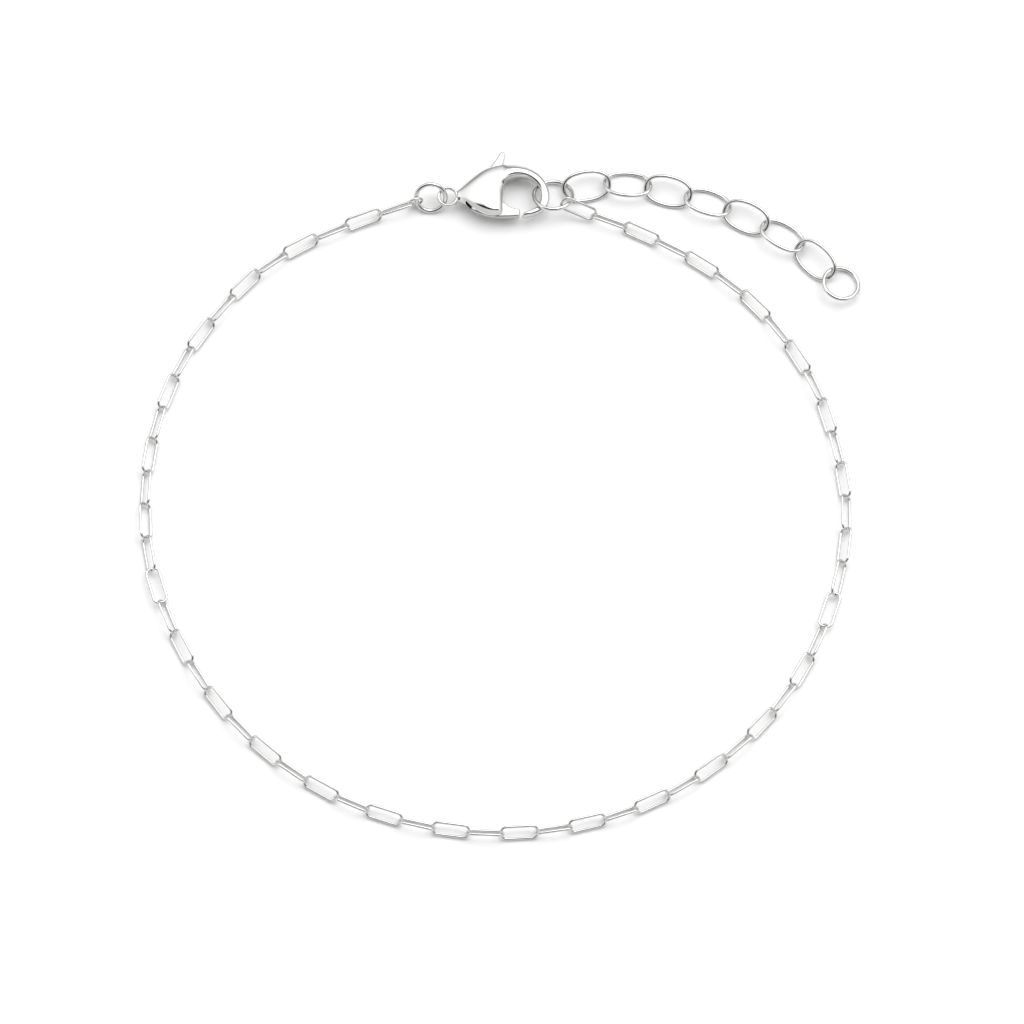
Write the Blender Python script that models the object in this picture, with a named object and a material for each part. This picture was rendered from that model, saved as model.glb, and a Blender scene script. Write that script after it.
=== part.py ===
import bpy
import bmesh
from math import cos, pi, radians, sin
from mathutils import Matrix, Vector

# Driving sizes, in metres
MM = 0.001
FIT = 0.17 * MM  # air between a wire and the wire or hook that it hangs on

LINK_LENGTH = 3.275 * MM  # outer length of a paperclip link
LINK_WIDTH = 1.33 * MM  # outer width
LINK_WIRE = 0.23 * MM
LINK_CORNER = 0.44 * MM  # radius of the wire's middle line at the four corners
LINK_COUNT = 58
LINK_JOIN = 0.04 * MM  # depth to which two links press into each other
WIDE_LEAN = 41  # degrees, the links that show broad
NARROW_LEAN = 57  # degrees, the links between them
TURNS = (0.281, 0.737)  # shares of the chain where a link lies flat and the lean changes side
CHAIN_END_ACROSS = 1.43 * MM  # small ring between the last link and the jump ring
CHAIN_END_LEAN = 82  # degrees, far side up

JUMP_RING_ACROSS = 2.84 * MM
JUMP_RING_WIRE = 0.38 * MM
JUMP_RING_TILT = 42  # degrees, far side up
JUMP_RING_CHAIN_ANGLE = 197  # degrees round the ring to the chain's end
CONNECTOR_ACROSS = 3.57 * MM
CONNECTOR_WIRE = 0.36 * MM
CONNECTOR_TILT = -28  # degrees, near side up
CONNECTOR_CHAIN_ANGLE = -40  # degrees round the ring to the chain's first link
CONNECTOR_EXTENDER_ANGLE = 30  # degrees round the ring to the extender

EXTENDER_LENGTH = 4.185 * MM  # outer length of an oval link
EXTENDER_WIDTH = 2.70 * MM
EXTENDER_WIRE = 0.31 * MM
EXTENDER_COUNT = 7
EXTENDER_SLACK = 0.12 * MM  # air between two of its links
EXTENDER_LEAN = 24  # degrees, to one side and the other in turn
END_RING_ACROSS = 3.30 * MM
END_RING_WIRE = 0.36 * MM
END_RING_LEAN = 18

CLASP_LENGTH = 8.48 * MM  # from the eye's middle to the end of the hook
CLASP_WIDTH = 4.80 * MM
CLASP_THICKNESS = 2.20 * MM
CLASP_FLAT = 0.94  # share of the half thickness at which the underside is flat
EYE_ACROSS = 1.80 * MM
EYE_WALL = 0.27 * MM
EYE_THICKNESS = 0.42 * MM
LEVER_THICKNESS = 0.90 * MM
LEVER_PLAY = 0.08 * MM  # air on each side of the lever in its slot
PIVOT_ACROSS = 0.60 * MM
PIVOT_PLAY = 0.05 * MM
PIVOT_SEAT = 0.22 * MM  # depth of the pin's seat in each wall

WIRE_SIDES = 6
RING_STEPS = 16
ROUTE_STEPS = 24  # points worked out between two points of a route

# The chain's route on the table, from the connector ring round to the jump ring
CHAIN_ROUTE = [
    (7.0, 25.5), (10.8, 24.0), (15.9, 21.3), (20.3, 17.8), (23.9, 13.2), (26.3, 8.1), (27.9, -0.1),
    (26.6, -8.4), (22.9, -16.0), (17.0, -22.1), (9.6, -26.2), (1.1, -28.0), (-7.4, -27.4), (-15.4, -24.5),
    (-22.3, -19.3), (-27.4, -12.2), (-30.3, -3.8), (-30.2, 4.8), (-27.5, 12.8), (-22.4, 19.5), (-17.9, 22.8),
    (-12.7, 25.1),
]
# The extender's route, from the connector ring out to its free end
EXTENDER_ROUTE = [
    (6.6, 28.3), (10.0, 28.3), (13.4, 27.6), (16.9, 26.5), (20.0, 25.2), (23.0, 23.6), (25.6, 21.5),
    (28.2, 18.4),
]

# Clasp shell: outer and inner edge (shares of length and width), thickness and edge height (shares)
SHELL = [
    dict(outer=(0.085, 0.096), inner=(0.085, -0.084), thick=0.28, edge=0.50),
    dict(outer=(0.112, 0.134), inner=(0.110, -0.098), thick=0.34, edge=0.52),
    dict(outer=(0.150, 0.190), inner=(0.142, -0.122), thick=0.48, edge=0.54),
    dict(outer=(0.224, 0.314), inner=(0.206, -0.188), thick=0.74, edge=0.56),
    dict(outer=(0.313, 0.420), inner=(0.283, -0.300), thick=0.94, edge=0.56),
    dict(outer=(0.403, 0.494), inner=(0.366, -0.368), thick=1.00, edge=0.56),
    dict(outer=(0.480, 0.535), inner=(0.460, -0.388), thick=1.00, edge=0.56),
    dict(outer=(0.540, 0.552), inner=(0.542, -0.372), thick=1.00, edge=0.56),
    dict(outer=(0.584, 0.558), inner=(0.541, -0.115), thick=0.98, edge=0.56),
    dict(outer=(0.628, 0.558), inner=(0.541, 0.090), thick=0.92, edge=0.54),
    dict(outer=(0.672, 0.554), inner=(0.556, 0.212), thick=0.84, edge=0.52),
    dict(outer=(0.719, 0.544), inner=(0.595, 0.293), thick=0.74, edge=0.50),
    dict(outer=(0.775, 0.523), inner=(0.658, 0.340), thick=0.62, edge=0.48),
    dict(outer=(0.838, 0.483), inner=(0.734, 0.350), thick=0.50, edge=0.44),
    dict(outer=(0.900, 0.410), inner=(0.810, 0.312), thick=0.36, edge=0.38),
    dict(outer=(0.953, 0.300), inner=(0.869, 0.238), thick=0.29, edge=0.34),
    dict(outer=(0.988, 0.165), inner=(0.907, 0.130), thick=0.29, edge=0.34),
    dict(outer=(1.000, 0.030), inner=(0.918, 0.012), thick=0.29, edge=0.34),
    dict(outer=(0.994, -0.090), inner=(0.907, -0.103), thick=0.29, edge=0.34),
    dict(outer=(0.961, -0.195), inner=(0.867, -0.192), thick=0.31, edge=0.38),
    dict(outer=(0.896, -0.288), inner=(0.808, -0.238), thick=0.38, edge=0.44),
    dict(outer=(0.820, -0.360), inner=(0.767, -0.272), thick=0.44, edge=0.50),
    dict(outer=(0.723, -0.385), inner=(0.751, -0.290), thick=0.46, edge=0.52),
]
SHELL_STEPS = 6  # faces across the shell from edge to edge
SHELL_FULLNESS = 2.1

# Lever and slot outlines, as shares of the clasp's length and width
LEVER_OUTLINE = [
    (0.704, -0.372), (0.711, -0.246), (0.660, -0.234), (0.599, -0.196), (0.549, -0.119), (0.513, -0.021),
    (0.501, 0.208), (0.520, 0.450), (0.545, 0.590), (0.547, 0.620), (0.565, 0.730), (0.561, 0.770),
    (0.546, 0.794), (0.527, 0.792), (0.509, 0.768), (0.474, 0.652), (0.425, 0.535), (0.395, 0.417),
    (0.366, 0.208), (0.330, 0.021), (0.280, -0.110), (0.225, -0.215), (0.245, -0.275), (0.330, -0.338),
    (0.401, -0.374), (0.483, -0.392), (0.613, -0.388),
]
SLOT_OUTLINE = [
    (0.175, -0.700), (0.175, -0.120), (0.230, 0.080), (0.240, 0.700), (0.566, 0.700), (0.562, 0.458),
    (0.521, 0.250), (0.521, 0.040), (0.640, 0.040), (0.640, -0.700),
]
PIVOT_AT = (0.436, -0.135)

CLASP_AT = (-5.34 * MM, 27.05 * MM)  # the eye's middle on the table
CONNECTOR_FROM_HOOK = (0.295 * MM, 0.12 * MM)  # the ring's middle from the end of the hook
CONNECTOR_RISE = 0.015 * MM
JUMP_RING_FROM_EYE = (-1.43 * MM, -0.07 * MM)


def clear_scene():
    for old in list(bpy.data.objects):
        bpy.data.objects.remove(old, do_unlink=True)


def silver(name, colour, roughness):
    material = bpy.data.materials.new(name)
    material.use_nodes = True
    shader = material.node_tree.nodes["Principled BSDF"]
    shader.inputs["Base Color"].default_value = (*colour, 1)
    shader.inputs["Metallic"].default_value = 1
    shader.inputs["Roughness"].default_value = roughness
    return material


def add_object(name, mesh, material, smooth=40):
    mesh.materials.append(material)
    mesh.shade_smooth()
    mesh.set_sharp_from_angle(angle=radians(smooth))
    made = bpy.data.objects.new(name, mesh)
    bpy.context.scene.collection.objects.link(made)
    return made


def finish_mesh(name, bm):
    bmesh.ops.recalc_face_normals(bm, faces=bm.faces)
    mesh = bpy.data.meshes.new(name)
    bm.to_mesh(mesh)
    bm.free()
    return mesh


def hide_helper(helper):
    helper.hide_render = True
    helper.display_type = "WIRE"
    helper.hide_set(True)


def combine(target, helper, operation):
    modifier = target.modifiers.new(operation.title(), "BOOLEAN")
    modifier.operation = operation
    modifier.solver = "EXACT"
    modifier.object = helper
    hide_helper(helper)


# Closed wires, each bent round a flat outline


def link_outline(length, width, wire, corner, corner_steps=2):
    """Middle line of a rounded oblong link, in its own plane."""
    half_x = (length - wire) / 2 - corner
    half_y = (width - wire) / 2 - corner
    points = []
    for quarter, (side_x, side_y) in enumerate([(1, 1), (-1, 1), (-1, -1), (1, -1)]):
        for step in range(corner_steps + 1):
            angle = (quarter + step / corner_steps) * pi / 2
            points.append((side_x * half_x + corner * cos(angle), side_y * half_y + corner * sin(angle)))
    return points


def oval_outline(length, width, wire, steps, fullness=2.15):
    """Middle line of an oval whose sides are a little fuller than an ellipse's."""
    points = []
    for step in range(steps):
        angle = 2 * pi * step / steps
        across, along = cos(angle), sin(angle)
        share = (abs(across) ** fullness + abs(along) ** fullness) ** (-1 / fullness)
        points.append((share * across * (length - wire) / 2, share * along * (width - wire) / 2))
    return points


def ring_outline(across, wire, steps):
    radius = (across - wire) / 2
    return [(radius * cos(2 * pi * k / steps), radius * sin(2 * pi * k / steps)) for k in range(steps)]


def add_wire(bm, outline, wire, place, sides=WIRE_SIDES):
    """A closed wire round a flat outline, laid in space by a matrix."""
    count = len(outline)
    loops = []
    for index, (x, y) in enumerate(outline):
        before = Vector(outline[index - 1])
        here = Vector((x, y))
        after = Vector(outline[(index + 1) % count])
        first, second = (here - before).normalized(), (after - here).normalized()
        ahead = (first + second).normalized()
        out = Vector((ahead.y, -ahead.x))
        mitre = 1 / max(ahead.dot(first), 0.5)
        loop = []
        for side in range(sides):
            angle = 2 * pi * side / sides
            offset = out * (cos(angle) * mitre * wire / 2)
            point = Vector((x + offset.x, y + offset.y, sin(angle) * wire / 2))
            loop.append(bm.verts.new(place @ point))
        loops.append(loop)
    for index, loop in enumerate(loops):
        following = loops[(index + 1) % count]
        for side in range(sides):
            other = (side + 1) % sides
            bm.faces.new((loop[side], loop[other], following[other], following[side]))


def wire_object(name, outline, wire, place, material):
    bm = bmesh.new()
    add_wire(bm, outline, wire, place)
    return add_object(name, finish_mesh(name, bm), material)


# Routes and the places of links along them


def smooth_curve(points, steps=ROUTE_STEPS):
    """Points of a smooth curve through the given ones, with straight changes of height."""
    dense = []
    last = len(points) - 1
    for index in range(last):
        p1, p2 = points[index], points[index + 1]
        p0 = points[index - 1] if index > 0 else 2 * p1 - p2
        p3 = points[index + 2] if index + 2 <= last else 2 * p2 - p1
        for step in range(steps):
            t = step / steps
            point = 0.5 * (
                2 * p1 + (p2 - p0) * t + (2 * p0 - 5 * p1 + 4 * p2 - p3) * t * t
                + (3 * p1 - p0 - 3 * p2 + p3) * t ** 3
            )
            point.z = p1.z + (p2.z - p1.z) * t
            dense.append(point)
    dense.append(points[-1])
    return dense


def walk(curve, step, count):
    """Places one step apart along a curve, and the length left past the last (below 0 if short)."""
    places = [curve[0]]
    index = 1
    for _ in range(count):
        centre = places[-1]
        while index < len(curve) and (curve[index] - centre).length < step:
            index += 1
        if index == len(curve):
            return places, (curve[-1] - centre).length - step * (count + 1 - len(places))
        start, end = curve[index - 1], curve[index]
        run = end - start
        low, high = 0.0, 1.0
        for _ in range(40):
            middle = (low + high) / 2
            if (start + run * middle - centre).length < step:
                low = middle
            else:
                high = middle
        places.append(start + run * high)
    left = (curve[index] - places[-1]).length
    left += sum((curve[k + 1] - curve[k]).length for k in range(index, len(curve) - 1))
    return places, left


def swell_route(points, factor):
    """The route's inner points, moved out from the line between its ends by one factor."""
    total = sum((b - a).length for a, b in zip(points, points[1:]))
    travelled = 0
    swollen = [points[0]]
    for a, b in zip(points, points[1:]):
        travelled += (b - a).length
        base = points[0].lerp(points[-1], travelled / total)
        moved = base + (b - base) * factor
        swollen.append(Vector((moved.x, moved.y, b.z)))
    return swollen


def places_between(points, step, count):
    """Places for a chain that starts and ends exactly at the route's ends."""
    low, high = 0.1, 4.0
    for _ in range(50):
        factor = (low + high) / 2
        _, left = walk(smooth_curve(swell_route(points, factor)), step, count)
        if left < 0:
            low = factor
        else:
            high = factor
    places, _ = walk(smooth_curve(swell_route(points, high)), step, count)
    return places


def frame_between(start, end, lean):
    """Matrix set midway between two places, X along them, its left side raised by a lean in degrees."""
    along = (end - start).normalized()
    left = Vector((0, 0, 1)).cross(along).normalized()
    up = along.cross(left)
    side = left * cos(radians(lean)) + up * sin(radians(lean))
    normal = along.cross(side)
    turn = Matrix((along, side, normal)).transposed().to_4x4()
    return Matrix.Translation((start + end) / 2) @ turn


def tilted_ring(centre, tilt):
    """Matrix of a ring that is turned about the table's X, far side up for a positive tilt."""
    return Matrix.Translation(centre) @ Matrix.Rotation(radians(tilt), 4, "X")


def on_ring(place, across, wire, angle):
    radius = (across - wire) / 2
    return place @ Vector((radius * cos(radians(angle)), radius * sin(radians(angle)), 0))


def first_place(ring, across, held_by, angle, toward, wire, reach):
    """Where a chain's first joint lies, so that its end link clears the ring's wire that holds it."""
    held_at = on_ring(ring, across, held_by, angle)
    ahead = (toward - held_at).normalized()
    run = ring.to_3x3() @ Vector((-sin(radians(angle)), cos(radians(angle)), 0))
    return held_at - ahead * (((wire + held_by) / 2 + FIT) / ahead.cross(run).length - reach)


# Sizes that follow from the driving ones

LINK_REACH = (LINK_WIRE - LINK_JOIN) / 2
LINK_PITCH = LINK_LENGTH - LINK_WIRE - 2 * LINK_REACH
CHAIN_HEIGHT = (LINK_WIDTH - LINK_WIRE) / 2 * sin(radians(max(WIDE_LEAN, NARROW_LEAN))) + LINK_WIRE / 2
EXTENDER_REACH = (EXTENDER_WIRE + EXTENDER_SLACK) / 2
EXTENDER_PITCH = EXTENDER_LENGTH - EXTENDER_WIRE - 2 * EXTENDER_REACH
EXTENDER_HEIGHT = (EXTENDER_WIDTH - EXTENDER_WIRE) / 2 * sin(radians(EXTENDER_LEAN)) + EXTENDER_WIRE / 2
CLASP_HEIGHT = CLASP_THICKNESS / 2 * CLASP_FLAT
SLOT_THICKNESS = LEVER_THICKNESS + 2 * LEVER_PLAY


def table_point(pair, height):
    return Vector((pair[0] * MM, pair[1] * MM, height))


def link_lean(index):
    """Broad links lean one way and those between them the other, and both change sides at the turns."""
    turns = [2 * round(share * (LINK_COUNT - 1) / 2) for share in TURNS]
    if index in turns:
        return 0
    side = -1 if turns[0] < index < turns[1] else 1
    return side * (WIDE_LEAN if index % 2 == 0 else -NARROW_LEAN)


def make_chain_end(jump_place, toward, material):
    """The small ring held by the jump ring; returns where the last link's joint lies."""
    near = first_place(
        jump_place, JUMP_RING_ACROSS, JUMP_RING_WIRE, JUMP_RING_CHAIN_ANGLE, toward, LINK_WIRE, 0,
    )
    ahead = (toward - near).normalized()
    far = near + ahead * (CHAIN_END_ACROSS - LINK_WIRE)
    place = frame_between(near, far, -CHAIN_END_LEAN)
    outline = ring_outline(CHAIN_END_ACROSS, LINK_WIRE, RING_STEPS)
    wire_object("chain_end_ring", outline, LINK_WIRE, place, material)
    return far - ahead * (LINK_WIRE + FIT - LINK_REACH)


def make_chain(jump_place, connector_place, material):
    inner = [table_point(pair, CHAIN_HEIGHT) for pair in CHAIN_ROUTE]
    first = first_place(
        connector_place, CONNECTOR_ACROSS, CONNECTOR_WIRE, CONNECTOR_CHAIN_ANGLE,
        inner[0], LINK_WIRE, LINK_REACH,
    )
    last = make_chain_end(jump_place, inner[-1], material)
    places = places_between([first, *inner, last], LINK_PITCH, LINK_COUNT)
    outline = link_outline(LINK_LENGTH, LINK_WIDTH, LINK_WIRE, LINK_CORNER)
    halves = []
    for offset, name in ((0, "chain"), (1, "chain_links_between")):
        bm = bmesh.new()
        for index in range(offset, LINK_COUNT, 2):
            place = frame_between(places[index], places[index + 1], link_lean(index))
            add_wire(bm, outline, LINK_WIRE, place)
        halves.append(add_object(name, finish_mesh(name, bm), material))
    combine(halves[0], halves[1], "UNION")


def make_extender(connector_place, material):
    inner = [table_point(pair, EXTENDER_HEIGHT) for pair in EXTENDER_ROUTE]
    first = first_place(
        connector_place, CONNECTOR_ACROSS, CONNECTOR_WIRE, CONNECTOR_EXTENDER_ANGLE,
        inner[0], EXTENDER_WIRE, EXTENDER_REACH,
    )
    curve = smooth_curve([first, *inner, 2 * inner[-1] - inner[-2]])
    places, _ = walk(curve, EXTENDER_PITCH, EXTENDER_COUNT)
    outline = oval_outline(EXTENDER_LENGTH, EXTENDER_WIDTH, EXTENDER_WIRE, RING_STEPS)
    for index in range(EXTENDER_COUNT):
        lean = EXTENDER_LEAN if index % 2 == 0 else -EXTENDER_LEAN
        place = frame_between(places[index], places[index + 1], lean)
        wire_object(f"extender_link_{index + 1}", outline, EXTENDER_WIRE, place, material)
    ahead = (places[-1] - places[-2]).normalized()
    radius = (END_RING_ACROSS - END_RING_WIRE) / 2
    near = places[-1] - ahead * EXTENDER_REACH
    lean = END_RING_LEAN if EXTENDER_COUNT % 2 == 0 else -END_RING_LEAN
    place = frame_between(near, near + ahead * 2 * radius, lean)
    ring = ring_outline(END_RING_ACROSS, END_RING_WIRE, RING_STEPS)
    wire_object("end_ring", ring, END_RING_WIRE, place, material)


# The clasp, in its own frame with the eye's middle at the origin


def clasp_point(share, height=0.0):
    return Vector((share[0] * CLASP_LENGTH, share[1] * CLASP_WIDTH, height))


def shell_height(share, edge):
    """Height of the dome across the shell, as a share of the half thickness."""
    crown = (1 - abs(2 * share - 1) ** SHELL_FULLNESS) ** (1 / SHELL_FULLNESS)
    return edge + (1 - edge) * crown


def shell_loop(bm, section):
    outer, inner = clasp_point(section["outer"]), clasp_point(section["inner"])
    half = section["thick"] * CLASP_THICKNESS / 2
    shares = [(1 - cos(pi * k / SHELL_STEPS)) / 2 for k in range(SHELL_STEPS + 1)]
    top, under = [], []
    for share in shares:
        point = outer.lerp(inner, share)
        height = half * shell_height(share, section["edge"])
        top.append(bm.verts.new(point + Vector((0, 0, height))))
        under.append(bm.verts.new(point - Vector((0, 0, min(height, half * CLASP_FLAT)))))
    return top + under[::-1]


def shell_mesh():
    bm = bmesh.new()
    loops = [shell_loop(bm, section) for section in SHELL]
    for loop, following in zip(loops, loops[1:]):
        for index in range(len(loop)):
            other = (index + 1) % len(loop)
            bm.faces.new((loop[index], loop[other], following[other], following[index]))
    bm.faces.new(loops[0])
    bm.faces.new(loops[-1])
    return finish_mesh("clasp_body", bm)


def plate_mesh(name, outline, thickness):
    bm = bmesh.new()
    lower = [bm.verts.new(clasp_point(share, -thickness / 2)) for share in outline]
    upper = [bm.verts.new(clasp_point(share, thickness / 2)) for share in outline]
    bm.faces.new(lower)
    bm.faces.new(upper)
    for index in range(len(outline)):
        other = (index + 1) % len(outline)
        bm.faces.new((lower[index], lower[other], upper[other], upper[index]))
    return finish_mesh(name, bm)


def eye_mesh():
    bm = bmesh.new()
    flat = Matrix.Diagonal((1, 1, EYE_THICKNESS / EYE_WALL, 1))
    add_wire(bm, ring_outline(EYE_ACROSS, EYE_WALL, RING_STEPS), EYE_WALL, flat, sides=8)
    return finish_mesh("clasp_eye", bm)


def round_bar(name, radius, length, place):
    bm = bmesh.new()
    bmesh.ops.create_cone(
        bm, cap_ends=True, segments=RING_STEPS, radius1=radius, radius2=radius, depth=length,
        matrix=Matrix.Translation(place),
    )
    return finish_mesh(name, bm)


def make_clasp(material):
    centre = Vector((*CLASP_AT, CLASP_HEIGHT))
    pivot = clasp_point(PIVOT_AT)
    body = add_object("clasp_body", shell_mesh(), material)
    combine(body, add_object("clasp_eye", eye_mesh(), material), "UNION")
    slot = plate_mesh("clasp_slot", SLOT_OUTLINE, SLOT_THICKNESS)
    combine(body, add_object("clasp_slot", slot, material), "DIFFERENCE")
    seat_length = SLOT_THICKNESS + 2 * PIVOT_SEAT
    bore = PIVOT_ACROSS / 2 + PIVOT_PLAY
    seat = add_object("clasp_seat", round_bar("clasp_seat", bore, seat_length, pivot), material)
    combine(body, seat, "DIFFERENCE")

    lever_mesh = plate_mesh("clasp_lever", LEVER_OUTLINE, LEVER_THICKNESS)
    lever_mesh.transform(Matrix.Translation(-pivot))
    lever = add_object("clasp_lever", lever_mesh, material)
    hole_mesh = round_bar("lever_hole", bore, 2 * LEVER_THICKNESS, Vector((0, 0, 0)))
    hole = add_object("lever_hole", hole_mesh, material)
    combine(lever, hole, "DIFFERENCE")
    pin_length = seat_length - 2 * PIVOT_PLAY
    pin = add_object("clasp_pivot", round_bar("clasp_pivot", PIVOT_ACROSS / 2, pin_length, pivot), material)
    for part in (body, pin):
        part.location = centre
    for part in (lever, hole):
        part.location = centre + pivot
    for helper in bpy.data.objects:
        if helper.hide_render and helper.name in ("clasp_eye", "clasp_slot", "clasp_seat"):
            helper.location = centre


def make_rings(material):
    hook_end = Vector((CLASP_AT[0] + CLASP_LENGTH, CLASP_AT[1], CLASP_HEIGHT))
    connector = tilted_ring(hook_end + Vector((*CONNECTOR_FROM_HOOK, CONNECTOR_RISE)), CONNECTOR_TILT)
    outline = ring_outline(CONNECTOR_ACROSS, CONNECTOR_WIRE, RING_STEPS)
    wire_object("connector_ring", outline, CONNECTOR_WIRE, connector, material)
    eye = Vector((*CLASP_AT, CLASP_HEIGHT))
    jump = tilted_ring(eye + Vector((*JUMP_RING_FROM_EYE, 0)), JUMP_RING_TILT)
    outline = ring_outline(JUMP_RING_ACROSS, JUMP_RING_WIRE, RING_STEPS)
    wire_object("jump_ring", outline, JUMP_RING_WIRE, jump, material)
    return jump, connector


def centre_on_origin():
    """Moves all so that the middle of the whole box is over the origin and its lowest point at height 0."""
    bpy.context.view_layer.update()
    shown = [part for part in bpy.data.objects if not part.hide_render]
    corners = [part.matrix_world @ Vector(corner) for part in shown for corner in part.bound_box]
    low = Vector([min(corner[axis] for corner in corners) for axis in range(3)])
    high = Vector([max(corner[axis] for corner in corners) for axis in range(3)])
    middle = (low + high) / 2
    for part in bpy.data.objects:
        part.location -= Vector((middle.x, middle.y, low.z))


clear_scene()
chain_silver = silver("chain_silver", (0.80, 0.79, 0.78), 0.16)
clasp_silver = silver("clasp_silver", (0.84, 0.83, 0.82), 0.12)
make_clasp(clasp_silver)
jump_frame, connector_frame = make_rings(chain_silver)
make_chain(jump_frame, connector_frame, chain_silver)
make_extender(connector_frame, chain_silver)
centre_on_origin()
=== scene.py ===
from math import cos, pi, radians, sin

import bpy
from mathutils import Matrix, Vector


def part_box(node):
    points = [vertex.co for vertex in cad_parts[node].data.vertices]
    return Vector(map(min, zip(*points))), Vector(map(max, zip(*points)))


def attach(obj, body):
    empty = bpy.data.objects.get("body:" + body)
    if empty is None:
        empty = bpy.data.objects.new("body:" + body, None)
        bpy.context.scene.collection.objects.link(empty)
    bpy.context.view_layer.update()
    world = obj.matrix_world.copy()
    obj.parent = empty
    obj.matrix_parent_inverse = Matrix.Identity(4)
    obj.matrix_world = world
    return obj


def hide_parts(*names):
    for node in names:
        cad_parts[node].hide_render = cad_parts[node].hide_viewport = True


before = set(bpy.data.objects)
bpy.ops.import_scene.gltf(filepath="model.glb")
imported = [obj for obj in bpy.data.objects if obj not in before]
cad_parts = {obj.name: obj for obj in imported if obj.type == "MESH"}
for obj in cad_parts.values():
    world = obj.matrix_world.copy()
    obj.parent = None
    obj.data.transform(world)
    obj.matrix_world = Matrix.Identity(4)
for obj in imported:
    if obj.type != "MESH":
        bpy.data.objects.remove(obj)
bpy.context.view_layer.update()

mm = 0.001
scene = bpy.context.scene
wires = {"around": 72, "aroundWire": 18, "smooth": 60}  # faces round a ring and its wire, degrees

# where things lie on the table, in mm, before the whole bracelet is centred
layout = {
    "eyeAt": (-5.34, 27.05),  # middle of the clasp's eye
    "claspLength": 8.48,
    "claspWidth": 4.80,
    "claspThickness": 2.20,
    "claspFlat": 0.94,  # share of the half thickness where the underside is flat
    "pivotAt": (0.436, -0.135),  # shares of the clasp's length and width
    "air": 0.17,  # between a wire and the wire that it hangs on
}
claspHeight = layout["claspThickness"] / 2 * layout["claspFlat"]
pivotLocal = Vector((
    layout["pivotAt"][0] * layout["claspLength"],
    layout["pivotAt"][1] * layout["claspWidth"],
    0,
))
eyeOnTable = Vector((*layout["eyeAt"], claspHeight))
pinLow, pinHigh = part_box("clasp_pivot")
tableShift = (pinLow + pinHigh) / 2 - (eyeOnTable + pivotLocal) * mm


def onTable(x, y, z=0.0):
    return Vector((x, y, z)) * mm + tableShift


# small tools for working by hand


def startFresh():
    bpy.ops.object.select_all(action="DESELECT")


def choose(piece):
    startFresh()
    piece.select_set(True)
    bpy.context.view_layer.objects.active = piece


def named(name):
    piece = bpy.context.object
    piece.name = name
    piece.data.name = name
    return piece


def settle(piece):  # puts the piece's place into its mesh
    choose(piece)
    bpy.ops.object.transform_apply(location=True, rotation=True, scale=True)


def editMode(piece):
    choose(piece)
    bpy.ops.object.mode_set(mode="EDIT")


def objectMode():
    bpy.ops.object.mode_set(mode="OBJECT")


def pickPoints(piece, test):  # leaves the piece in edit mode with only those points picked
    editMode(piece)
    bpy.ops.mesh.select_mode(type="VERT")
    bpy.ops.mesh.select_all(action="DESELECT")
    objectMode()
    for point in piece.data.vertices:
        point.select = bool(test(point.co))
    bpy.ops.object.mode_set(mode="EDIT")


def applyModifier(piece, kind, **settings):
    choose(piece)
    modifier = piece.modifiers.new(kind.title(), kind)
    for key, value in settings.items():
        setattr(modifier, key, value)
    bpy.ops.object.modifier_apply(modifier=modifier.name)


def cutOrJoin(piece, tool, operation):
    applyModifier(piece, "BOOLEAN", operation=operation, solver="EXACT", object=tool)
    bpy.data.objects.remove(tool, do_unlink=True)


def smoothShade(piece, degrees):
    choose(piece)
    bpy.ops.object.shade_smooth_by_angle(angle=radians(degrees))


def outwardFaces(piece):
    editMode(piece)
    bpy.ops.mesh.select_all(action="SELECT")
    bpy.ops.mesh.normals_make_consistent(inside=False)
    objectMode()


def joined(name, parts):
    startFresh()
    for part in parts:
        part.select_set(True)
    bpy.context.view_layer.objects.active = parts[0]
    bpy.ops.object.join()
    return named(name)


# routes, with the links' places walked along them


def smoothRoute(points, steps=24):
    dense = []
    last = len(points) - 1
    for index in range(last):
        p1, p2 = points[index], points[index + 1]
        p0 = points[index - 1] if index > 0 else 2 * p1 - p2
        p3 = points[index + 2] if index + 2 <= last else 2 * p2 - p1
        for step in range(steps):
            t = step / steps
            point = 0.5 * (
                2 * p1 + (p2 - p0) * t + (2 * p0 - 5 * p1 + 4 * p2 - p3) * t * t
                + (3 * p1 - p0 - 3 * p2 + p3) * t ** 3
            )
            point.z = p1.z + (p2.z - p1.z) * t
            dense.append(point)
    dense.append(points[-1])
    return dense


def walkRoute(curve, step, count):
    places = [curve[0]]
    index = 1
    for _ in range(count):
        centre = places[-1]
        while index < len(curve) and (curve[index] - centre).length < step:
            index += 1
        if index == len(curve):
            return places, -1
        start, run = curve[index - 1], curve[index] - curve[index - 1]
        low, high = 0.0, 1.0
        for _ in range(40):
            middle = (low + high) / 2
            if (start + run * middle - centre).length < step:
                low = middle
            else:
                high = middle
        places.append(start + run * high)
    return places, 1


def swollenRoute(points, factor):
    total = sum((b - a).length for a, b in zip(points, points[1:]))
    travelled = 0
    swollen = [points[0]]
    for a, b in zip(points, points[1:]):
        travelled += (b - a).length
        base = points[0].lerp(points[-1], travelled / total)
        moved = base + (b - base) * factor
        swollen.append(Vector((moved.x, moved.y, b.z)))
    return swollen


def placesBetween(points, step, count):  # the route grows until the last link ends on its last point
    low, high = 0.1, 4.0
    for _ in range(50):
        factor = (low + high) / 2
        _, left = walkRoute(smoothRoute(swollenRoute(points, factor)), step, count)
        if left < 0:
            low = factor
        else:
            high = factor
    return walkRoute(smoothRoute(swollenRoute(points, high)), step, count)[0]


def linkPlace(start, end, lean):
    along = (end - start).normalized()
    left = Vector((0, 0, 1)).cross(along).normalized()
    up = along.cross(left)
    side = left * cos(radians(lean)) + up * sin(radians(lean))
    turn = Matrix((along, side, along.cross(side))).transposed().to_4x4()
    return Matrix.Translation((start + end) / 2) @ turn


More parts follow.
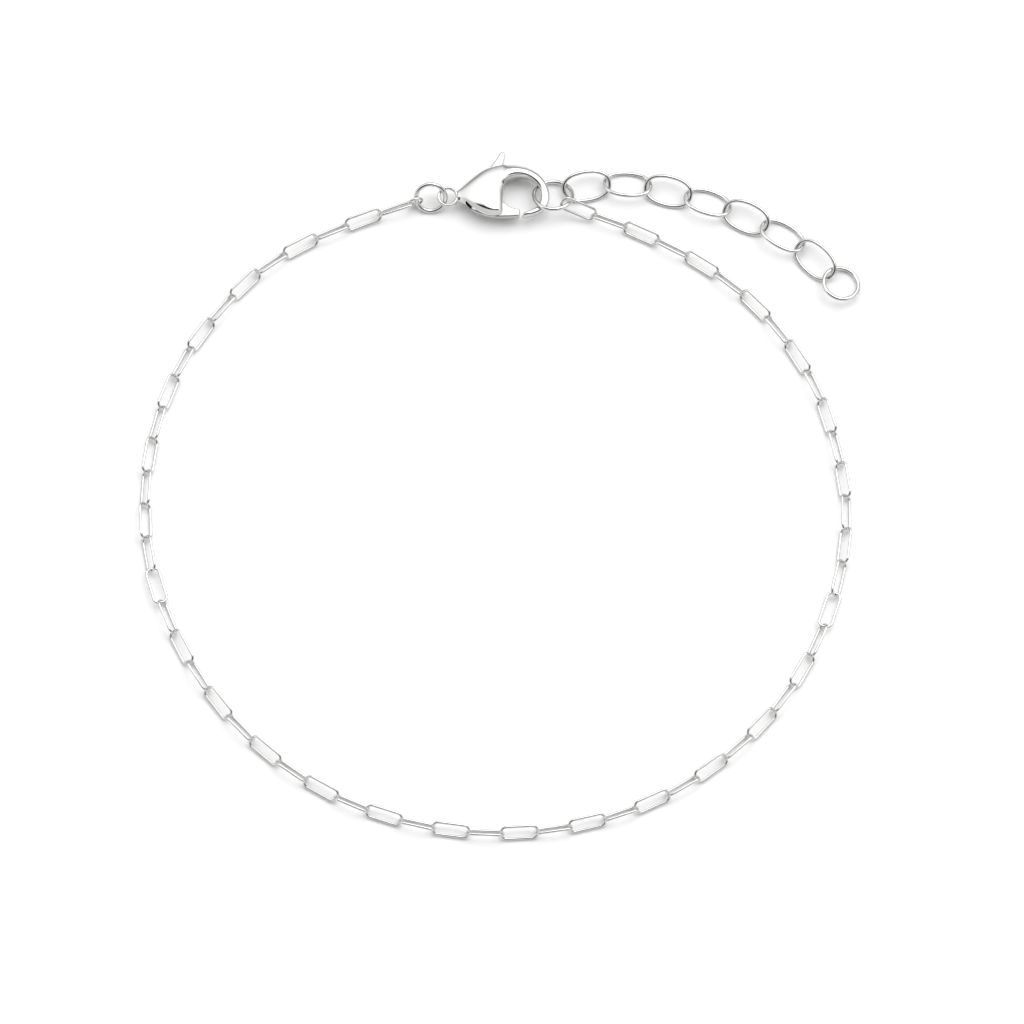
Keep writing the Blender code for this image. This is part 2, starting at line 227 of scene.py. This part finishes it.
def ringPlace(centre, tilt):
    return Matrix.Translation(centre) @ Matrix.Rotation(radians(tilt), 4, "X")


def firstPlace(ring, angle, toward, wire, reach):
    radius = (ring["across"] - ring["wire"]) / 2 * mm
    heldAt = ring["place"] @ Vector((radius * cos(radians(angle)), radius * sin(radians(angle)), 0))
    ahead = (toward - heldAt).normalized()
    run = ring["place"].to_3x3() @ Vector((-sin(radians(angle)), cos(radians(angle)), 0))
    clear = ((wire + ring["wire"]) / 2 + layout["air"]) * mm / ahead.cross(run).length
    return heldAt - ahead * (clear - reach * mm)


# materials


def newGroup(name, inputs, outputs):
    group = bpy.data.node_groups.new(name, "ShaderNodeTree")
    for label, kind, value in inputs:
        socket = group.interface.new_socket(label, in_out="INPUT", socket_type=kind)
        socket.default_value = value
    for label, kind in outputs:
        group.interface.new_socket(label, in_out="OUTPUT", socket_type=kind)
    return group, group.nodes.new("NodeGroupInput"), group.nodes.new("NodeGroupOutput")


def mathNode(tree, operation, first, second=None, clamp=False):
    node = tree.nodes.new("ShaderNodeMath")
    node.operation = operation
    node.use_clamp = clamp
    for slot, value in zip(node.inputs, (first, second)):
        if hasattr(value, "is_output"):
            tree.links.new(value, slot)
        elif value is not None:
            slot.default_value = value
    return node.outputs[0]


def rangeNode(tree, value, fromLow, fromHigh, toLow, toHigh, smooth=True):
    node = tree.nodes.new("ShaderNodeMapRange")
    node.interpolation_type = "SMOOTHSTEP" if smooth else "LINEAR"
    tree.links.new(value, node.inputs["Value"])
    for label, number in (
        ("From Min", fromLow), ("From Max", fromHigh), ("To Min", toLow), ("To Max", toHigh),
    ):
        if hasattr(number, "is_output"):
            tree.links.new(number, node.inputs[label])
        else:
            node.inputs[label].default_value = number
    return node.outputs["Result"]


def noiseNode(tree, vector, scale, detail=2.0, roughness=0.5, stretch=(1, 1, 1), turn=(0, 0, 0)):
    mapping = tree.nodes.new("ShaderNodeMapping")
    mapping.inputs["Scale"].default_value = stretch
    mapping.inputs["Rotation"].default_value = turn
    tree.links.new(vector, mapping.inputs["Vector"])
    noise = tree.nodes.new("ShaderNodeTexNoise")
    noise.inputs["Scale"].default_value = scale
    noise.inputs["Detail"].default_value = detail
    noise.inputs["Roughness"].default_value = roughness
    tree.links.new(mapping.outputs["Vector"], noise.inputs["Vector"])
    return noise.outputs["Fac"]


polish = {
    "ior": 1.45, "bumpHeight": 0.004,  # mm
    "lineScale": 900, "lineFrom": 0.62, "lineTo": 0.70,
    "lineTurns": (((0.3, 0.2, 0.5), (1, 14, 14)), ((1.1, -0.4, -0.7), (14, 1, 14))),  # turn, stretch
    "cloudScale": 420, "cloudFrom": 0.42, "cloudTo": 0.68, "cloudShare": 0.75,
    "speckScale": 2600, "speckFrom": 0.55, "speckTo": 0.75, "speckShare": 0.25,
    "toneScale": 160,
}


def hairScratchGroup():  # long fine polishing lines in two directions
    group, inlet, outlet = newGroup(
        "hairScratches",
        [("Vector", "NodeSocketVector", (0, 0, 0))],
        [("Height", "NodeSocketFloat"), ("Mask", "NodeSocketFloat")],
    )
    lines = []
    for turn, stretch in polish["lineTurns"]:
        streaks = noiseNode(
            group, inlet.outputs["Vector"], polish["lineScale"], 1.0, stretch=stretch, turn=turn,
        )
        lines.append(rangeNode(group, streaks, polish["lineFrom"], polish["lineTo"], 0, 1))
    both = mathNode(group, "MAXIMUM", lines[0], lines[1])
    group.links.new(both, outlet.inputs["Mask"])
    group.links.new(mathNode(group, "MULTIPLY", both, -1.0), outlet.inputs["Height"])
    return group


def handlingGroup():  # cloudy marks from fingers and cloth
    group, inlet, outlet = newGroup(
        "handlingMarks",
        [("Vector", "NodeSocketVector", (0, 0, 0))],
        [("Mask", "NodeSocketFloat"), ("Tone", "NodeSocketFloat")],
    )
    clouds = noiseNode(group, inlet.outputs["Vector"], polish["cloudScale"], 3.0, 0.55)
    specks = noiseNode(group, inlet.outputs["Vector"], polish["speckScale"])
    mask = mathNode(
        group, "ADD",
        rangeNode(group, clouds, polish["cloudFrom"], polish["cloudTo"], 0, polish["cloudShare"]),
        rangeNode(group, specks, polish["speckFrom"], polish["speckTo"], 0, polish["speckShare"]),
        clamp=True,
    )
    group.links.new(mask, outlet.inputs["Mask"])
    tones = noiseNode(group, inlet.outputs["Vector"], polish["toneScale"], 1.0)
    group.links.new(tones, outlet.inputs["Tone"])
    return group


scratchGroup = hairScratchGroup()
marksGroup = handlingGroup()


def polishedSilver(name, look):
    material = bpy.data.materials.new(name)
    material.use_nodes = True
    tree = material.node_tree
    shader = tree.nodes["Principled BSDF"]
    shader.inputs["Metallic"].default_value = 1.0
    shader.inputs["IOR"].default_value = polish["ior"]
    place = tree.nodes.new("ShaderNodeTexCoord").outputs["Object"]
    scratches = tree.nodes.new("ShaderNodeGroup")
    scratches.node_tree = scratchGroup
    marks = tree.nodes.new("ShaderNodeGroup")
    marks.node_tree = marksGroup
    for node in (scratches, marks):
        tree.links.new(place, node.inputs["Vector"])
    tone = tree.nodes.new("ShaderNodeMix")
    tone.data_type = "RGBA"
    tone.inputs["A"].default_value = (*look["colour"], 1)
    tone.inputs["B"].default_value = (*look["deepColour"], 1)
    tree.links.new(marks.outputs["Tone"], tone.inputs["Factor"])
    tree.links.new(tone.outputs["Result"], shader.inputs["Base Color"])
    soft = rangeNode(tree, marks.outputs["Mask"], 0, 1, look["shine"], look["dull"], smooth=False)
    scored = mathNode(tree, "MULTIPLY", scratches.outputs["Mask"], look["scratched"])
    tree.links.new(mathNode(tree, "ADD", soft, scored), shader.inputs["Roughness"])
    bump = tree.nodes.new("ShaderNodeBump")
    bump.inputs["Strength"].default_value = look["bump"]
    bump.inputs["Distance"].default_value = polish["bumpHeight"] * mm
    tree.links.new(scratches.outputs["Height"], bump.inputs["Height"])
    tree.links.new(bump.outputs["Normal"], shader.inputs["Normal"])
    return material


chainSilver = polishedSilver("chainSilver", {
    "colour": (0.64, 0.635, 0.625), "deepColour": (0.58, 0.575, 0.565),
    "shine": 0.06, "dull": 0.12, "scratched": 0.05, "bump": 0.15,
})
claspSilver = polishedSilver("claspSilver", {
    "colour": (0.65, 0.645, 0.635), "deepColour": (0.61, 0.605, 0.595),
    "shine": 0.05, "dull": 0.10, "scratched": 0.05, "bump": 0.15,
})
# the lever is the same silver as the clasp; its darker colour is painted shade, so that the flat top of the
# thumb tab reads grey and not white
leverShadedSilver = polishedSilver("leverShadedSilver", {
    "colour": (0.54, 0.535, 0.525), "deepColour": (0.50, 0.495, 0.485),
    "shine": 0.05, "dull": 0.10, "scratched": 0.05, "bump": 0.15,
})
pinSilver = polishedSilver("pinSilver", {
    "colour": (0.56, 0.555, 0.54), "deepColour": (0.46, 0.455, 0.44),
    "shine": 0.22, "dull": 0.36, "scratched": 0.08, "bump": 0.25,
})


def finish(piece, material, body, slot, *nodes):
    piece.data.materials.clear()
    piece.data.materials.append(material)
    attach(piece, body)
    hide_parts(*nodes)
    print(piece.name, len(piece.data.polygons), "faces")


# rings

jumpRing = {"across": 2.84, "wire": 0.38, "tilt": 42, "fromEye": (-1.43, -0.07), "toChain": 197}
connectorRing = {
    "across": 3.57, "wire": 0.36, "tilt": -28, "fromHook": (0.295, 0.12, 0.015),
    "toChain": -40, "toExtender": 30,
}
eyeMiddle = onTable(*eyeOnTable)
hookEnd = eyeMiddle + Vector((layout["claspLength"] * mm, 0, 0))
jumpRing["place"] = ringPlace(eyeMiddle + Vector((*jumpRing["fromEye"], 0)) * mm, jumpRing["tilt"])
connectorRing["place"] = ringPlace(hookEnd + Vector(connectorRing["fromHook"]) * mm, connectorRing["tilt"])


def roundRing(name, ring):
    startFresh()
    bpy.ops.mesh.primitive_torus_add(
        major_segments=wires["around"], minor_segments=wires["aroundWire"],
        major_radius=(ring["across"] - ring["wire"]) / 2 * mm, minor_radius=ring["wire"] / 2 * mm,
        location=ring["place"].to_translation(), rotation=ring["place"].to_euler(),
    )
    piece = named(name)
    settle(piece)
    smoothShade(piece, wires["smooth"])
    return piece


finish(roundRing("jumpRing", jumpRing), chainSilver, "bracelet", "chain_silver", "jump_ring")
finish(roundRing("connectorRing", connectorRing), chainSilver, "bracelet", "chain_silver", "connector_ring")

# paperclip chain

chain = {
    "length": 3.275, "width": 1.33, "wire": 0.23, "corner": 0.44, "join": 0.04, "count": 58,
    "wideLean": 41, "narrowLean": 57, "turns": (0.281, 0.737),
    "around": 48, "aroundWire": 14,
    "route": [
        (7.0, 25.5), (10.8, 24.0), (15.9, 21.3), (20.3, 17.8), (23.9, 13.2), (26.3, 8.1), (27.9, -0.1),
        (26.6, -8.4), (22.9, -16.0), (17.0, -22.1), (9.6, -26.2), (1.1, -28.0), (-7.4, -27.4),
        (-15.4, -24.5), (-22.3, -19.3), (-27.4, -12.2), (-30.3, -3.8), (-30.2, 4.8), (-27.5, 12.8),
        (-22.4, 19.5), (-17.9, 22.8), (-12.7, 25.1),
    ],
}
chainEndRing = {"across": 1.43, "wire": 0.23, "lean": 82}  # joins the last link to the jump ring


def linkModel(chain):  # a small ring whose four quarters are moved apart
    startFresh()
    bpy.ops.mesh.primitive_torus_add(
        major_segments=chain["around"], minor_segments=chain["aroundWire"],
        major_radius=chain["corner"] * mm, minor_radius=chain["wire"] / 2 * mm,
        rotation=(0, 0, pi / chain["around"]),
    )
    link = named("paperclipLink")
    settle(link)
    apartX = (chain["length"] - chain["join"] - chain["wire"]) / 2 - chain["corner"]
    apartY = (chain["width"] - chain["wire"]) / 2 - chain["corner"]
    for sideX, sideY in ((1, 1), (-1, 1), (-1, -1), (1, -1)):
        pickPoints(link, lambda co: co.x * sideX > 0 and co.y * sideY > 0)
        bpy.ops.transform.translate(value=(sideX * apartX * mm, sideY * apartY * mm, 0))
        objectMode()
    return link


def linkLean(index):
    turns = [2 * round(share * (chain["count"] - 1) / 2) for share in chain["turns"]]
    if index in turns:
        return 0
    side = -1 if turns[0] < index < turns[1] else 1
    return side * (chain["wideLean"] if index % 2 == 0 else -chain["narrowLean"])


reach = (chain["wire"] - chain["join"]) / 2
pitch = chain["length"] - chain["wire"] - 2 * reach
chainHeight = (chain["width"] - chain["wire"]) / 2 * sin(radians(chain["narrowLean"])) + chain["wire"] / 2
inner = [onTable(*pair, chainHeight) for pair in chain["route"]]
chainStart = firstPlace(connectorRing, connectorRing["toChain"], inner[0], chain["wire"], reach)
endNear = firstPlace(jumpRing, jumpRing["toChain"], inner[-1], chain["wire"], 0)
ahead = (inner[-1] - endNear).normalized()
endFar = endNear + ahead * (chainEndRing["across"] - chainEndRing["wire"]) * mm
chainEndRing["place"] = linkPlace(endNear, endFar, -chainEndRing["lean"])
chainEnd = endFar - ahead * (chain["wire"] + layout["air"] - reach) * mm
stops = placesBetween([chainStart, *inner, chainEnd], pitch * mm, chain["count"])
model = linkModel(chain)
links = []
for index in range(chain["count"]):
    link = model.copy()
    link.data = model.data.copy()
    scene.collection.objects.link(link)
    link.data.transform(linkPlace(stops[index], stops[index + 1], linkLean(index)))
    links.append(link)
bpy.data.objects.remove(model, do_unlink=True)
chainLinks = joined("chainLinks", links)
smoothShade(chainLinks, wires["smooth"])
finish(chainLinks, chainSilver, "bracelet", "chain_silver", "chain")
finish(roundRing("chainEndRing", chainEndRing), chainSilver, "bracelet", "chain_silver", "chain_end_ring")

# extender

extender = {
    "length": 4.185, "width": 2.70, "wire": 0.31, "count": 7, "slack": 0.12, "lean": 24, "fullness": 1.05,
    "around": 16, "aroundWire": 7,  # steps of the curve between two knots, and of the wire's quarter round
    "route": [
        (6.6, 28.3), (10.0, 28.3), (13.4, 27.6), (16.9, 26.5), (20.0, 25.2), (23.0, 23.6), (25.6, 21.5),
        (28.2, 18.4),
    ],
}
endRing = {"across": 3.30, "wire": 0.36, "lean": 18}


def ovalLink(name, size, place):  # a round curve drawn out to an oval, with a round wire along it
    startFresh()
    bpy.ops.curve.primitive_bezier_circle_add(radius=1)
    oval = named(name)
    editMode(oval)
    bpy.ops.curve.select_all(action="SELECT")
    bpy.ops.transform.resize(value=(
        (size["length"] - size["wire"]) / 2 * mm, (size["width"] - size["wire"]) / 2 * mm, mm,
    ))
    objectMode()
    for knot in oval.data.splines[0].bezier_points:
        for side in ("handle_left", "handle_right"):
            setattr(knot, side + "_type", "FREE")
            setattr(knot, side, knot.co + (getattr(knot, side) - knot.co) * size["fullness"])
    oval.data.resolution_u = size["around"]
    oval.data.bevel_depth = size["wire"] / 2 * mm
    oval.data.bevel_resolution = size["aroundWire"]
    choose(oval)
    bpy.ops.object.convert(target="MESH")
    oval = named(name)
    oval.data.transform(place)
    outwardFaces(oval)
    smoothShade(oval, wires["smooth"])
    return oval


reach = (extender["wire"] + extender["slack"]) / 2
pitch = extender["length"] - extender["wire"] - 2 * reach
extenderHeight = (
    (extender["width"] - extender["wire"]) / 2 * sin(radians(extender["lean"])) + extender["wire"] / 2
)
inner = [onTable(*pair, extenderHeight) for pair in extender["route"]]
extenderStart = firstPlace(connectorRing, connectorRing["toExtender"], inner[0], extender["wire"], reach)
curve = smoothRoute([extenderStart, *inner, 2 * inner[-1] - inner[-2]])
stops, _ = walkRoute(curve, pitch * mm, extender["count"])
for index in range(extender["count"]):
    lean = extender["lean"] if index % 2 == 0 else -extender["lean"]
    oval = ovalLink(f"extenderLink{index + 1}", extender, linkPlace(stops[index], stops[index + 1], lean))
    finish(oval, chainSilver, "bracelet", "chain_silver", f"extender_link_{index + 1}")
ahead = (stops[-1] - stops[-2]).normalized()
near = stops[-1] - ahead * reach * mm
far = near + ahead * (endRing["across"] - endRing["wire"]) * mm
endRing["place"] = linkPlace(near, far, endRing["lean"] if extender["count"] % 2 == 0 else -endRing["lean"])
finish(roundRing("endRing", endRing), chainSilver, "bracelet", "chain_silver", "end_ring")

# clasp body: a sheet of faces across the neck, drawn out section by section; points in mm from the eye

claspBody = {
    "face": (  # share of the way from the outer edge to the crease, share of the half thickness
        (0, 0.60), (0.035, 0.68), (0.10, 0.79), (0.20, 0.90), (0.32, 0.965), (0.43, 0.99), (0.54, 1.0),
        (0.68, 0.990), (0.82, 0.975), (0.90, 0.960), (0.95, 0.945), (0.975, 0.932),
    ),
    "band": ((0, 0.905), (0.08, 0.870), (0.50, 0.70), (1.0, 0.48)),  # from the crease to the lower edge
    "bandWidth": 0.44, "bandShareMost": 0.3,
    "hookProfile": (
        (0, 0.50), (0.07, 0.64), (0.20, 0.82), (0.38, 0.96), (0.62, 1.0), (0.86, 0.96), (1.0, 0.56),
    ),
    "shoulderReach": (0, 0, 0, 0, 0.15, 0.5),  # how far each hook column follows the shoulder's drop
    "sections": (  # outer point, inner point, thickness, drop towards the opening
        ((0.72, 0.46), (0.72, -0.40), 0.60, 1), ((0.95, 0.60), (0.93, -0.46), 0.74, 1),
        ((1.27, 0.90), (1.20, -0.60), 1.05, 1), ((1.90, 1.46), (1.75, -0.95), 1.60, 1),
        ((2.65, 2.00), (2.40, -1.42), 2.05, 1), ((3.30, 2.34), (3.05, -1.73), 2.20, 1),
        ((3.82, 2.50), (3.60, -1.85), 2.20, 0.985), ((4.15, 2.58), (4.06, -1.86), 2.20, 0.91),
        ((4.36, 2.62), (4.33, -1.83), 2.20, 0.80), ((4.51, 2.64), (4.50, -1.80), 2.20, 0.69),
        ((4.59, 2.65), (4.60, -1.76), 2.20, 0.58),
    ),
    "hook": (  # outer point, inner point, thickness
        ((4.86, 2.67), (4.63, 0.72), 2.14), ((5.16, 2.67), (4.74, 1.05), 2.04),
        ((5.58, 2.66), (5.05, 1.40), 1.88), ((6.06, 2.60), (5.58, 1.63), 1.68),
        ((6.57, 2.48), (6.20, 1.67), 1.44), ((7.10, 2.27), (6.72, 1.56), 1.16),
        ((7.60, 1.93), (7.12, 1.32), 0.90), ((8.02, 1.45), (7.46, 1.03), 0.74),
        ((8.30, 0.90), (7.68, 0.65), 0.67), ((8.46, 0.30), (7.77, 0.19), 0.65),
        ((8.47, -0.25), (7.74, -0.28), 0.65), ((8.34, -0.75), (7.58, -0.70), 0.67),
        ((8.03, -1.17), (7.25, -1.04), 0.76), ((7.60, -1.48), (6.88, -1.20), 0.88),
        ((7.00, -1.73), (6.60, -1.32), 0.97), ((6.13, -1.85), (6.37, -1.39), 1.02),
    ),
    "eyeAcross": 1.80, "eyeWall": 0.27, "eyeThickness": 0.42, "eyeAround": 64, "eyeAroundWall": 20,
    "divisions": 2, "smooth": 35,
}


def columnPlaces(section, onHook):  # across one section: place in plan and height of the upper side
    outer, innerPoint = Vector(section[0]), Vector(section[1])
    if onHook:
        return [(outer.lerp(innerPoint, share), height) for share, height in claspBody["hookProfile"]]
    width = (innerPoint - outer).length
    crease = outer.lerp(innerPoint, 1 - min(claspBody["bandWidth"] / width, claspBody["bandShareMost"]))
    places = [(outer.lerp(crease, share), height) for share, height in claspBody["face"]]
    places += [(crease.lerp(innerPoint, share), height) for share, height in claspBody["band"]]
    reaches = claspBody["shoulderReach"]
    reaches = (*reaches, *[1] * (len(places) - len(reaches)))
    return [
        (place, height * (1 - (1 - section[3]) * reach))
        for (place, height), reach in zip(places, reaches)
    ]


def shapeSection(body, section, onHook):  # puts the picked points on their section
    places = columnPlaces(section, onHook)
    half = section[2] / 2
    marks = body.data.attributes
    for point in body.data.vertices:
        if point.select:
            place, height = places[marks["column"].data[point.index].value]
            level = (-min(height, layout["claspFlat"]), 0, height)[marks["row"].data[point.index].value]
            point.co = Vector((place.x, place.y, level * half)) * mm


def drawOut(body, sections, onHook):
    for section in sections:
        editMode(body)
        bpy.ops.mesh.extrude_region_move(TRANSFORM_OT_translate={"value": (mm, 0, 0)})
        objectMode()
        shapeSection(body, section, onHook)


def claspCage():
    columns = len(claspBody["face"]) + len(claspBody["band"])
    startFresh()
    bpy.ops.mesh.primitive_grid_add(x_subdivisions=columns - 1, y_subdivisions=2, size=2 * mm)
    body = named("claspBody")
    columnMarks = body.data.attributes.new("column", "INT", "POINT")
    rowMarks = body.data.attributes.new("row", "INT", "POINT")
    for point in body.data.vertices:
        columnMarks.data[point.index].value = round((point.co.x / mm + 1) / 2 * (columns - 1))
        rowMarks.data[point.index].value = round(point.co.y / mm) + 1
    editMode(body)
    bpy.ops.mesh.select_mode(type="FACE")
    bpy.ops.mesh.select_all(action="SELECT")
    objectMode()
    shapeSection(body, claspBody["sections"][0], False)
    drawOut(body, claspBody["sections"][1:], False)
    hookColumns = len(claspBody["hookProfile"])
    marks = [mark.value for mark in body.data.attributes["column"].data]
    for face in body.data.polygons:
        face.select = face.select and max(marks[corner] for corner in face.vertices) < hookColumns
    kept = {corner for face in body.data.polygons if face.select for corner in face.vertices}
    for point in body.data.vertices:
        point.select = point.index in kept
    for edge in body.data.edges:
        edge.select = all(corner in kept for corner in edge.vertices)
    drawOut(body, claspBody["hook"], True)
    return body


def drawnPlate(name, outline, thickness):  # drawn point by point, filled and given its thickness
    startFresh()
    bpy.ops.mesh.primitive_plane_add(size=mm, location=(0, 0, 0))
    plate = named(name)
    editMode(plate)
    bpy.ops.mesh.select_mode(type="VERT")
    bpy.ops.mesh.select_all(action="SELECT")
    bpy.ops.mesh.merge(type="CENTER")
    here = Vector((*outline[0], -thickness / 2)) * mm
    bpy.ops.transform.translate(value=here)
    for x, y in outline[1:]:
        there = Vector((x, y, -thickness / 2)) * mm
        bpy.ops.mesh.extrude_region_move(TRANSFORM_OT_translate={"value": there - here})
        here = there
    bpy.ops.mesh.select_all(action="SELECT")
    bpy.ops.mesh.edge_face_add()
    bpy.ops.mesh.extrude_region_move(TRANSFORM_OT_translate={"value": (0, 0, thickness * mm)})
    bpy.ops.mesh.select_all(action="SELECT")
    bpy.ops.mesh.normals_make_consistent(inside=False)
    objectMode()
    return plate


def roundBar(name, radius, length, at):
    startFresh()
    bpy.ops.mesh.primitive_cylinder_add(vertices=32, radius=radius * mm, depth=length * mm, location=at * mm)
    piece = named(name)
    settle(piece)
    return piece


def asShares(pairs):
    return [(x * layout["claspLength"], y * layout["claspWidth"]) for x, y in pairs]


slot = {
    "outline": asShares([
        (0.175, -0.700), (0.175, -0.120), (0.230, 0.080), (0.240, 0.700), (0.566, 0.700), (0.562, 0.458),
        (0.521, 0.250), (0.521, 0.040), (0.640, 0.040), (0.640, -0.700),
    ]),
    "thickness": 1.06,
}
pin = {"across": 0.60, "play": 0.05, "seat": 0.22}  # the room cut for the pin that the CAD model shows

body = claspCage()
applyModifier(body, "SUBSURF", levels=claspBody["divisions"], render_levels=claspBody["divisions"])
startFresh()
bpy.ops.mesh.primitive_torus_add(
    major_segments=claspBody["eyeAround"], minor_segments=claspBody["eyeAroundWall"],
    major_radius=(claspBody["eyeAcross"] - claspBody["eyeWall"]) / 2 * mm,
    minor_radius=claspBody["eyeWall"] / 2 * mm,
)
eye = named("claspEye")
editMode(eye)
bpy.ops.mesh.select_all(action="SELECT")
bpy.ops.transform.resize(value=(1, 1, claspBody["eyeThickness"] / claspBody["eyeWall"]))
objectMode()
cutOrJoin(body, eye, "UNION")
cutOrJoin(body, drawnPlate("slotCutter", slot["outline"], slot["thickness"]), "DIFFERENCE")
bore = pin["across"] / 2 + pin["play"]
cutOrJoin(body, roundBar("seatCutter", bore, slot["thickness"] + 2 * pin["seat"], pivotLocal), "DIFFERENCE")
body.data.transform(Matrix.Translation(eyeMiddle))
smoothShade(body, claspBody["smooth"])
finish(body, claspSilver, "bracelet", "clasp_silver", "clasp_body")

# lever: thumb tab and gate in one plate

lever = {
    "outline": asShares([
        (0.704, -0.372), (0.711, -0.246), (0.660, -0.234), (0.599, -0.196), (0.549, -0.119), (0.513, -0.021),
        (0.501, 0.208), (0.520, 0.450), (0.545, 0.590), (0.547, 0.620), (0.565, 0.730), (0.561, 0.770),
        (0.546, 0.794), (0.527, 0.792), (0.509, 0.768), (0.474, 0.652), (0.425, 0.535), (0.395, 0.417),
        (0.366, 0.208), (0.330, 0.021), (0.280, -0.110), (0.225, -0.215), (0.245, -0.275), (0.330, -0.338),
        (0.401, -0.374), (0.483, -0.392), (0.613, -0.388),
    ]),
    "thickness": 0.90, "round": 0.13, "roundSteps": 4, "smooth": 50,
}
plate = drawnPlate("claspLever", lever["outline"], lever["thickness"])
cutOrJoin(plate, roundBar("holeCutter", bore, 2 * lever["thickness"], pivotLocal), "DIFFERENCE")
applyModifier(
    plate, "BEVEL", width=lever["round"] * mm, segments=lever["roundSteps"], limit_method="ANGLE",
    angle_limit=radians(lever["smooth"]), use_clamp_overlap=False,
)
plate.data.transform(Matrix.Translation(eyeMiddle))
smoothShade(plate, lever["smooth"])
finish(plate, leverShadedSilver, "lever", "clasp_silver", "clasp_lever")
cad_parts["clasp_pivot"].material_slots[0].material = pinSilver

# table, light and camera

table = {"colour": (0.97, 0.97, 0.97), "rough": 0.9, "size": 6.0, "below": 0.01}
startFresh()
bpy.ops.mesh.primitive_plane_add(size=table["size"], location=(0, 0, -table["below"] * mm))
floor = named("paleTable")
paper = bpy.data.materials.new("paleTable")
paper.use_nodes = True
paperShader = paper.node_tree.nodes["Principled BSDF"]
paperShader.inputs["Base Color"].default_value = (*table["colour"], 1)
paperShader.inputs["Roughness"].default_value = table["rough"]
floor.data.materials.append(paper)
print("table")

tent = {  # the light all round, as strengths; the height and depth of a direction run from -1 to 1
    "bright": 1.7, "brightFrom": 0.12, "brightTo": 0.86,
    "lowBehind": 0.42, "lowFront": 0.90, "depth": 0.6,
    "darkLean": 28, "darkInner": 30, "darkOuter": 40,  # degrees, the opening that is shot through
    "darkAcross": 0.62, "darkTone": 0.02,
}
world = bpy.data.worlds.new("lightTent")
world.use_nodes = True
scene.world = world
tree = world.node_tree
direction = tree.nodes.new("ShaderNodeTexCoord").outputs["Generated"]
axes = tree.nodes.new("ShaderNodeSeparateXYZ")
tree.links.new(direction, axes.inputs[0])
overhead = rangeNode(tree, axes.outputs["Z"], tent["brightFrom"], tent["brightTo"], 0, 1)
nearTable = rangeNode(
    tree, axes.outputs["Y"], -tent["depth"], tent["depth"], tent["lowFront"], tent["lowBehind"],
)
strength = rangeNode(tree, overhead, 0, 1, nearTable, tent["bright"], smooth=False)
squeezed, unit, nearOpening = [tree.nodes.new("ShaderNodeVectorMath") for _ in range(3)]
squeezed.operation = "MULTIPLY"
squeezed.inputs[1].default_value = (tent["darkAcross"], 1, 1)
unit.operation = "NORMALIZE"
nearOpening.operation = "DOT_PRODUCT"
darkLean = radians(tent["darkLean"])
nearOpening.inputs[1].default_value = (0, -sin(darkLean), cos(darkLean))
tree.links.new(direction, squeezed.inputs[0])
tree.links.new(squeezed.outputs["Vector"], unit.inputs[0])
tree.links.new(unit.outputs["Vector"], nearOpening.inputs[0])
opening = rangeNode(
    tree, nearOpening.outputs["Value"],
    cos(radians(tent["darkOuter"])), cos(radians(tent["darkInner"])), 1, tent["darkTone"],
)
tree.links.new(mathNode(tree, "MULTIPLY", strength, opening), tree.nodes["Background"].inputs["Strength"])
tree.nodes["Background"].inputs["Color"].default_value = (1, 1, 1, 1)

lamp = {"at": (0.40, 0.45, 1.3), "size": 1.4, "power": 10.0}  # m and W
startFresh()
bpy.ops.object.light_add(type="AREA", location=lamp["at"])
light = bpy.context.object
light.data.size = lamp["size"]
light.data.energy = lamp["power"]
light.rotation_euler = (-Vector(lamp["at"])).to_track_quat("-Z", "Y").to_euler()
print("light")

view = {
    "elevation": 73.8, "distance": 4.0, "mmPerPixel": 0.0832, "pixels": 1024, "sensor": 36.0,
    "near": 0.1, "far": 50,
}
tilt = radians(view["elevation"])
startFresh()
bpy.ops.object.camera_add(
    location=onTable(0, 0) + Vector((0, -cos(tilt), sin(tilt))) * view["distance"],
    rotation=(pi / 2 - tilt, 0, 0),
)
camera = bpy.context.object
camera.data.sensor_width = view["sensor"]
camera.data.lens = view["sensor"] * view["distance"] / (view["pixels"] * view["mmPerPixel"] * mm)
camera.data.clip_start = view["near"]
camera.data.clip_end = view["far"]
scene.camera = camera
scene.view_settings.view_transform = "Standard"
print("camera")
